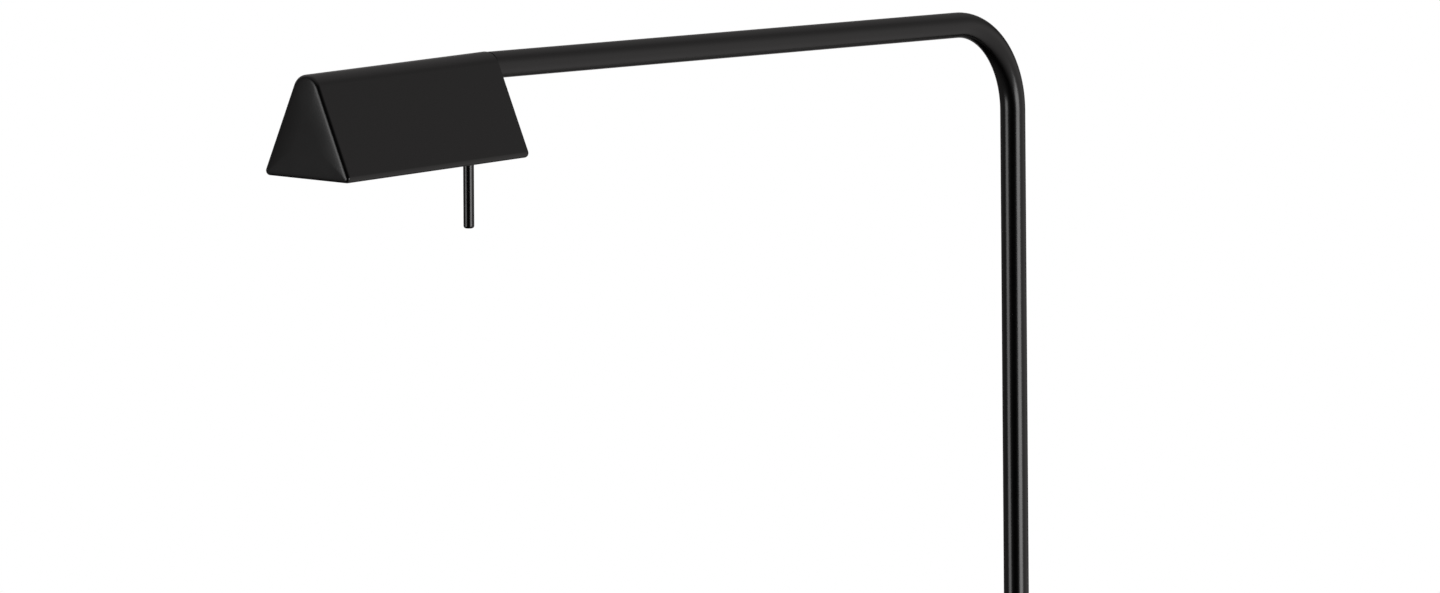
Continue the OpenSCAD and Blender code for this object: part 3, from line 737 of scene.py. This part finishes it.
# %% [markdown]
# ## Tent section
#
# The shade is one folded sheet: a lip turned in at the rim, a flat side, a round ridge, the other side
# and the other lip. All roundings are true arcs that the sides touch, so the angle of the sides follows
# from the ridge, the rim and the width. A bevel on a sharp fold would be quicker, but on corners other
# than a right angle its arc isn't round. Spin gives the true arc.

# %% Angles of the tent
RIDGE_RADIUS = 10.7 * MM
RIM_RADIUS = 2.8 * MM
RIM_LIP = 1.5 * MM
RIM_STEPS = 10
RIDGE_STEPS = 32

ridge_z = shell_high.z - RIDGE_RADIUS
rim_y = shell_high.y - RIM_RADIUS
rim_z = shell_low.z + RIM_RADIUS
arc_step = RIDGE_RADIUS - RIM_RADIUS
centre_gap = math.hypot(rim_y, ridge_z - rim_z)
lean = math.atan2(rim_y, ridge_z - rim_z) - math.asin(arc_step / centre_gap)
side_y = arc_step * math.cos(lean) - rim_y
side_z = arc_step * math.sin(lean) + ridge_z - rim_z
side_length = math.hypot(side_y, side_z)
print("Lean:", round(math.degrees(lean), 2), "degrees, side:", round(side_length / MM, 1), "mm")

# %% Fold along the section


def bend(steps, degrees, y, z):
    """Bends the selected edge of the sheet on round an axis along x."""
    bpy.ops.mesh.spin(steps=steps, angle=math.radians(degrees), center=(0, y, z), axis=(-1, 0, 0))


def fold_sheet(name, x0, x1, lip):
    """Folds a sheet of the tent section between two stations, from lip to lip over the ridge."""
    length = x1 - x0
    middle = ((x0 + x1) / 2, rim_y - lip / 2, shell_low.z)
    rim_turn = 90 + math.degrees(lean)
    bpy.ops.object.select_all(action="DESELECT")
    bpy.ops.mesh.primitive_plane_add(size=length, location=middle)
    piece = open_new(name)
    bpy.ops.transform.resize(value=(1, lip / length, 1), center_override=middle)
    pick("EDGE", all_at(1, rim_y))
    bend(RIM_STEPS, rim_turn, rim_y, rim_z)
    pull(y=side_y, z=side_z)
    bend(RIDGE_STEPS, 180 - 2 * math.degrees(lean), 0, ridge_z)
    pull(y=side_y, z=-side_z)
    bend(RIM_STEPS, rim_turn, -rim_y, rim_z)
    pull(y=lip)
    clean()
    return piece


print("Folding bench ready")

# %% [markdown]
# ## Shade sheet
#
# The painted sheet is one millimetre thick. Solidify gives it that thickness inwards and puts the inner
# wall on a second material, because the inside of such a shade is a white reflector.

# %% Fold the shade
SHEET = 1 * MM


def two_paints(piece):
    """Gives a piece black paint for its outside, and white paint for what faces the lamp."""
    for slot in ("satin_black", "white_paint"):
        piece.data.materials.append(finish[slot])


shade = fold_sheet("shade_sheet", shell_low.x, shell_high.x, RIM_LIP)
bpy.ops.object.mode_set(mode="OBJECT")
two_paints(shade)
apply_modifier(shade, "SOLIDIFY", thickness=SHEET, offset=-1, use_even_offset=True, material_offset=1)
hand_over(shade, "shade_shell", head_place)

# %% [markdown]
# ## End caps
#
# Each end is closed by a plate of the same outline, with its outer edge rounded over. The face of the free
# end swells very slightly towards the middle, as a pressed plate does: in the photograph it brightens
# softly before the bright line of the edge. The plate is the same fold closed across the bottom. The edge
# is a bevel, and the swell is a few rings that shrink towards the middle while they rise. Inset would
# cross itself in the tight corners of the rim, so the rings are scaled instead. The flat inner face is
# part of the white reflector.

# %% Crown and inner paint
CROWN_HEIGHT = 0.34 * MM
CROWN_SPREAD = 3
CROWN_POWER = 0.6
CROWN_RINGS = (0.975, 0.95, 0.90, 0.84, 0.77, 0.70, 0.62, 0.54, 0.45, 0.33)


def crown_lift(height, ring):
    """Height of a swell on one of its rings, which is given as a share of the plate's outline."""
    return height * (1 - ring**CROWN_SPREAD) ** CROWN_POWER


def paint_inside(piece, test):
    """Paints the faces of the open mesh that pass a test white, and the others black."""
    two_paints(piece)
    piece.active_material_index = 1
    pick("FACE", test)
    bpy.ops.object.material_slot_assign()


print("Crown, mm:", [round(crown_lift(CROWN_HEIGHT, ring) / MM, 3) for ring in CROWN_RINGS])

# %% Cap plate
CAP_EDGE = 2 * MM
CAP_EDGE_STEPS = 8
CROWN_CENTRE_Z = -27 * MM


def cap_plate(name, x_in, x_out, crown):
    """A plate of the tent outline between its flat inner face and an outer face with a crown."""
    outwards = math.copysign(1, x_out - x_in)
    shoulder = x_out - outwards * crown_lift(crown, CROWN_RINGS[-1])
    piece = fold_sheet(name, min(x_in, shoulder), max(x_in, shoulder), rim_y)
    for x in (x_in, shoulder):
        pick("EDGE", all_at(0, x))
        bpy.ops.mesh.edge_face_add()
    clean()
    pick("EDGE", all_at(0, shoulder))
    bpy.ops.mesh.bevel(offset=CAP_EDGE, segments=CAP_EDGE_STEPS, clamp_overlap=False)
    pick("FACE", all_at(0, shoulder))
    last = 1
    for ring in CROWN_RINGS:
        pull(x=outwards * (crown_lift(crown, ring) - crown_lift(crown, last)))
        share = ring / last
        bpy.ops.transform.resize(value=(1, share, share), center_override=(x_out, 0, CROWN_CENTRE_Z))
        last = ring
    paint_inside(piece, all_at(0, x_in))
    return piece


low, high = head_box("shade_end_cap")
end_cap = cap_plate("end_cap", low.x, high.x, CROWN_HEIGHT)
hand_over(end_cap, "shade_end_cap", head_place)

# %% [markdown]
# ## Arm-side cap
#
# The cap towards the arm is the same plate with a round hole for the hollow journal that the head turns
# on. It stays flat, because the friction washer bears on it. It is built with its rounded side the other
# way rather than mirrored, so that its faces need no turning round. A cutter cylinder makes the hole.

# %% Cap with a journal hole
HOLE_SIDES = 48


def drill(piece, diameter, start, end):
    """Cuts a round hole between two points; its flats touch the given diameter from outside."""
    start, end = Vector(start), Vector(end)
    bpy.ops.object.mode_set(mode="OBJECT")
    bpy.ops.object.select_all(action="DESELECT")
    bpy.ops.mesh.primitive_cylinder_add(
        vertices=HOLE_SIDES,
        radius=diameter / 2 / math.cos(math.pi / HOLE_SIDES),
        depth=(end - start).length,
        location=(start + end) / 2,
        rotation=(end - start).to_track_quat("Z", "Y").to_euler(),
    )
    cutter = bpy.context.object
    apply_modifier(piece, "BOOLEAN", object=cutter, operation="DIFFERENCE", solver="EXACT")
    bpy.data.objects.remove(cutter)


JOURNAL_HOLE = 8.1 * MM
low, high = head_box("shade_arm_cap")
arm_cap = cap_plate("arm_cap", high.x, low.x, crown=0)
drill(arm_cap, JOURNAL_HOLE, (low.x - MM, 0, 0), (high.x + MM, 0, 0))
hand_over(arm_cap, "shade_arm_cap", head_place)

# %% [markdown]
# ## Turned pieces
#
# Rod, base, socket, post, ferrule and lock ring are round, so one helper works as a lathe: it starts
# with a circle and carries it along an outline of radius and height, with one extrude and one scale for
# each corner. The screw modifier could do the same from a profile, but rings keep their own edge loops,
# which the bevel then finds by place. A round-off is a bevel on one of those loops.

# %% Lathe
BREAK_STEPS = 3
ROUND_STEPS = 4


def on_ring(radius, height, x=0.0):
    """A test: every corner lies on this ring round the vertical axis."""
    return lambda part: all(
        abs(math.hypot(vert.co.x - x, vert.co.y) - radius) < NEAR and abs(vert.co.z - height) < NEAR
        for vert in part.verts
    )


def turn(name, outline, sides, hollow=True, x=0.0):
    """Turns (radius, height) corners round a vertical axis; a hollow outline closes on itself."""
    radius, height = outline[0]
    bpy.ops.object.select_all(action="DESELECT")
    bpy.ops.mesh.primitive_circle_add(vertices=sides, radius=radius, location=(x, 0, height))
    piece = open_new(name)
    for next_radius, next_height in outline[1:] + outline[:1] * hollow:
        pull(z=next_height - height)
        share = next_radius / radius
        bpy.ops.transform.resize(value=(share, share, 1), center_override=(x, 0, next_height))
        radius, height = next_radius, next_height
    if not hollow:
        bpy.ops.mesh.edge_face_add()
        pick("EDGE", on_ring(*outline[0], x))
        bpy.ops.mesh.edge_face_add()
    clean()
    return piece


def round_off(radius, height, offset, steps, x=0.0):
    """Rounds one ring of edges of the open mesh."""
    pick("EDGE", on_ring(radius, height, x))
    bpy.ops.mesh.bevel(offset=offset, segments=steps, clamp_overlap=False)


print("Lathe ready")

# %% [markdown]
# ## Control stalk
#
# A thin rod hangs below the shade on the dimmer's shaft. Its lower end is rounded, its upper end has a
# socket for the shaft, and a set screw goes in through a cross hole. It is turned in the head's frame.

# %% Stalk
STALK_SIDES = 48
SOCKET_DEPTH = 9 * MM
SOCKET_RADIUS = 2.02 * MM
STALK_ROUND = 1.5 * MM
STALK_ROUND_STEPS = 8
STALK_BREAK = 0.3 * MM
STALK_BREAK_STEPS = 2
SCREW_HOLE = 2.04 * MM

low, high = head_box("stalk")
stalk_x = (low.x + high.x) / 2
stalk_radius = (high.x - low.x) / 2
outline = [
    (SOCKET_RADIUS, high.z - SOCKET_DEPTH),
    (SOCKET_RADIUS, high.z),
    (stalk_radius, high.z),
    (stalk_radius, low.z),
]
stalk = turn("control_stalk", outline, STALK_SIDES, hollow=False, x=stalk_x)
round_off(stalk_radius, low.z, STALK_ROUND, STALK_ROUND_STEPS, stalk_x)
round_off(stalk_radius, high.z, STALK_BREAK, STALK_BREAK_STEPS, stalk_x)
screw_z = high.z - SOCKET_DEPTH / 2
drill(stalk, SCREW_HOLE, (stalk_x, 0, screw_z), (stalk_x + 2 * stalk_radius, 0, screw_z))
hand_over(stalk, "stalk", head_place)

# %% [markdown]
# ## Tray under the lamp
#
# Below the shade a frosted diffuser and a white painted cover lie side by side on the rails. Both are
# plates with slightly broken edges, so each is a cube that is sized and bevelled in edit mode. The
# cover has a round hole for the stalk.

# %% Diffuser and switch cover
PLATE_BREAK = 0.3 * MM
STALK_HOLE = 8 * MM


def tray_plate(name, node):
    """A plate with broken edges in the place of a CAD node of the head."""
    low, high = head_box(node)
    size = high - low
    bpy.ops.object.select_all(action="DESELECT")
    bpy.ops.mesh.primitive_cube_add(size=1, location=(low + high) / 2)
    piece = open_new(name)
    bpy.ops.transform.resize(value=size, center_override=(low + high) / 2)
    bpy.ops.mesh.bevel(offset=PLATE_BREAK, segments=BREAK_STEPS)
    return piece


lens_plate = tray_plate("frosted_diffuser", "diffuser")
hand_over(lens_plate, "diffuser", head_place)

low, high = head_box("switch_cover")
cover_plate = tray_plate("stalk_cover", "switch_cover")
drill(cover_plate, STALK_HOLE, (stalk_x, 0, low.z - MM), (stalk_x, 0, high.z + MM))
hand_over(cover_plate, "switch_cover", head_place)

# %% [markdown]
# ## Base cover
#
# The base is a cast weight under a pressed steel cover with a soft round shoulder. The cover is turned
# as a thin shell, its shoulder is rounded outside and inside by bevels that share one centre, and a
# hole is cut for the cord outlet.

# %% Base cover
BASE_SIDES = 128
COVER_SHEET = 1.2 * MM
SHOULDER_ROUND = 6 * MM
SHOULDER_STEPS = 12
NIPPLE_HOLE = 5.3 * MM
OUTLET_HOLE = 8.94 * MM

low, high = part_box("base_cover")
base_radius, base_top = high.y, high.z
inner_radius, inner_top = base_radius - COVER_SHEET, base_top - COVER_SHEET
outline = [
    (base_radius, low.z),
    (base_radius, base_top),
    (NIPPLE_HOLE, base_top),
    (NIPPLE_HOLE, inner_top),
    (inner_radius, inner_top),
    (inner_radius, low.z),
]
cover = turn("base_shell", outline, BASE_SIDES)
round_off(base_radius, base_top, SHOULDER_ROUND, SHOULDER_STEPS)
round_off(inner_radius, inner_top, SHOULDER_ROUND - COVER_SHEET, SHOULDER_STEPS)
gland_low, gland_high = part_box("cord_gland")
outlet_z = (gland_low.z + gland_high.z) / 2
drill(cover, OUTLET_HOLE, (gland_low.x, 0, outlet_z), (gland_high.x + MM, 0, outlet_z))
hand_over(cover, "base_cover")

# %% [markdown]
# ## Foot pad and cord outlet
#
# A thin rubber pad keeps the base off the floor. Its lower edge is a little rounded. The cord outlet is
# a moulded nylon bush that snaps into the cover: a flange outside, a neck through the sheet, a flange
# inside and a rounded mouth. It is turned upright and then laid on its side.

# %% Pad and outlet
PAD_ROUND = 0.6 * MM
FLANGE = 2 * MM
NECK_RADIUS = 4.45 * MM
MOUTH_RADIUS = 3.25 * MM
MOUTH_ROUND = 0.9 * MM

low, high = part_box("foot_pad")
pad = turn("rubber_foot", [(high.y, low.z), (high.y, high.z)], BASE_SIDES, hollow=False)
round_off(high.y, low.z, PAD_ROUND, BREAK_STEPS)
hand_over(pad, "foot_pad")

flange_radius = (gland_high.z - gland_low.z) / 2
outline = [
    (MOUTH_RADIUS, gland_low.x),
    (flange_radius, gland_low.x),
    (flange_radius, gland_low.x + FLANGE),
    (NECK_RADIUS, gland_low.x + FLANGE),
    (NECK_RADIUS, base_radius),
    (flange_radius, base_radius),
    (flange_radius, gland_high.x),
    (MOUTH_RADIUS, gland_high.x),
]
outlet = turn("cord_outlet", outline, HOLE_SIDES)
round_off(flange_radius, gland_high.x, MOUTH_ROUND, ROUND_STEPS)
round_off(MOUTH_RADIUS, gland_high.x, MOUTH_ROUND, ROUND_STEPS)
sideways = Matrix.Translation((0, 0, outlet_z)) @ Matrix.Rotation(QUARTER_TURN, 4, "Y")
hand_over(outlet, "cord_gland", sideways)

# %% [markdown]
# ## Socket and post
#
# The post stands in a turned socket with a hollow cove, and is held from below by a threaded nipple.
# The cove's corners are points on an arc, because the lathe takes any outline. The post is a plain tube
# with broken edges.

# %% Socket and post tube
POST_SIDES = 64
COVE_STEPS = 12
SOCKET_RIM = 1.48 * MM
SOCKET_FLOOR = 2 * MM
SLIP_FIT = 0.02 * MM
EDGE_BREAK = 0.4 * MM

low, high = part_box("post_socket")
post_low, post_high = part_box("post_tube")
post_radius = post_high.y
bore_radius = post_radius + SLIP_FIT
cove = high.y - bore_radius - SOCKET_RIM
angles = [QUARTER_TURN * step / COVE_STEPS for step in range(COVE_STEPS + 1)]
outline = [
    (NIPPLE_HOLE, low.z),
    (high.y, low.z),
    *((high.y - cove * math.sin(a), high.z - cove * math.cos(a)) for a in angles),
    (bore_radius, high.z),
    (bore_radius, low.z + SOCKET_FLOOR),
    (NIPPLE_HOLE, low.z + SOCKET_FLOOR),
]
socket = turn("post_foot", outline, POST_SIDES)
round_off(high.y, high.z - cove, EDGE_BREAK, BREAK_STEPS)
hand_over(socket, "post_socket")

# %% Post
POST_WALL = 1.5 * MM

outline = [
    (post_radius - POST_WALL, post_low.z),
    (post_radius, post_low.z),
    (post_radius, post_high.z),
    (post_radius - POST_WALL, post_high.z),
]
post = turn("upright_post", outline, POST_SIDES)
for end in (post_low.z, post_high.z):
    round_off(post_radius, end, EDGE_BREAK, BREAK_STEPS)
hand_over(post, "post_tube")

# %% [markdown]
# ## Ferrule and lock ring
#
# The ferrule closes the top of the post and carries a nylon collet. The lock ring screws down over it
# and squeezes the collet on to the arm tube. The ring's grip is a row of flutes: one cutter is modelled
# with rounded ends, repeated round the ring by a spin that copies, and cut out in one go.

# %% Ferrule
STEP_GAP = 0.5 * MM
NECK_WALL = 1.05 * MM
SHOULDER_BORE = 9 * MM

low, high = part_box("post_ferrule")
ring_low, ring_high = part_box("lock_ring")
collet_low, collet_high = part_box("collet")
seat_radius = collet_high.y + SLIP_FIT
neck_radius = seat_radius + NECK_WALL
skirt_top = ring_low.z - STEP_GAP
outline = [
    (bore_radius, low.z),
    (high.y, low.z),
    (high.y, skirt_top),
    (neck_radius, skirt_top),
    (neck_radius, high.z),
    (seat_radius, high.z),
    (seat_radius, collet_low.z),
    (SHOULDER_BORE, collet_low.z),
    (SHOULDER_BORE, post_high.z),
    (bore_radius, post_high.z),
]
ferrule = turn("post_collar", outline, POST_SIDES)
for end in (low.z, skirt_top):
    round_off(high.y, end, 2 * EDGE_BREAK, ROUND_STEPS)
hand_over(ferrule, "post_ferrule")

# %% Lock ring
FLUTES = 36
FLUTE_SIDES = 24
FLUTE_RADIUS = 0.9 * MM
FLUTE_ROUND = 0.6 * FLUTE_RADIUS
FLUTE_MARGIN = 3 * MM
THREAD_GAP = 0.05 * MM
RING_ROUND = 1 * MM
RING_SIDES = 4 * FLUTES
RING_LIP = 8.3 * MM
LIP_HEIGHT = 3.8 * MM

ring_radius = ring_high.y
ring_bore = neck_radius + THREAD_GAP
outline = [
    (ring_bore, ring_low.z),
    (ring_radius, ring_low.z),
    (ring_radius, ring_high.z),
    (RING_LIP, ring_high.z),
    (RING_LIP, ring_high.z - LIP_HEIGHT),
    (ring_bore, ring_high.z - LIP_HEIGHT),
]
lock_ring = turn("grip_ring", outline, RING_SIDES)
for end in (ring_low.z, ring_high.z):
    round_off(ring_radius, end, RING_ROUND, ROUND_STEPS)
round_off(RING_LIP, ring_high.z, EDGE_BREAK, BREAK_STEPS)
bpy.ops.object.mode_set(mode="OBJECT")

flute_x = ring_radius + FLUTE_RADIUS / 2
ends = [ring_low.z + FLUTE_MARGIN, ring_high.z - FLUTE_MARGIN]
flute = turn("flute", [(FLUTE_RADIUS, end) for end in ends], FLUTE_SIDES, hollow=False, x=flute_x)
for end in ends:
    round_off(FLUTE_RADIUS, end, FLUTE_ROUND, ROUND_STEPS, flute_x)
bpy.ops.mesh.select_all(action="SELECT")
turned = math.radians(360) * (FLUTES - 1) / FLUTES
bpy.ops.mesh.spin(steps=FLUTES - 1, angle=turned, dupli=True, center=(0, 0, 0), axis=(0, 0, 1))
apply_modifier(lock_ring, "BOOLEAN", object=flute, operation="DIFFERENCE", solver="EXACT")
bpy.data.objects.remove(flute)
hand_over(lock_ring, "lock_ring")
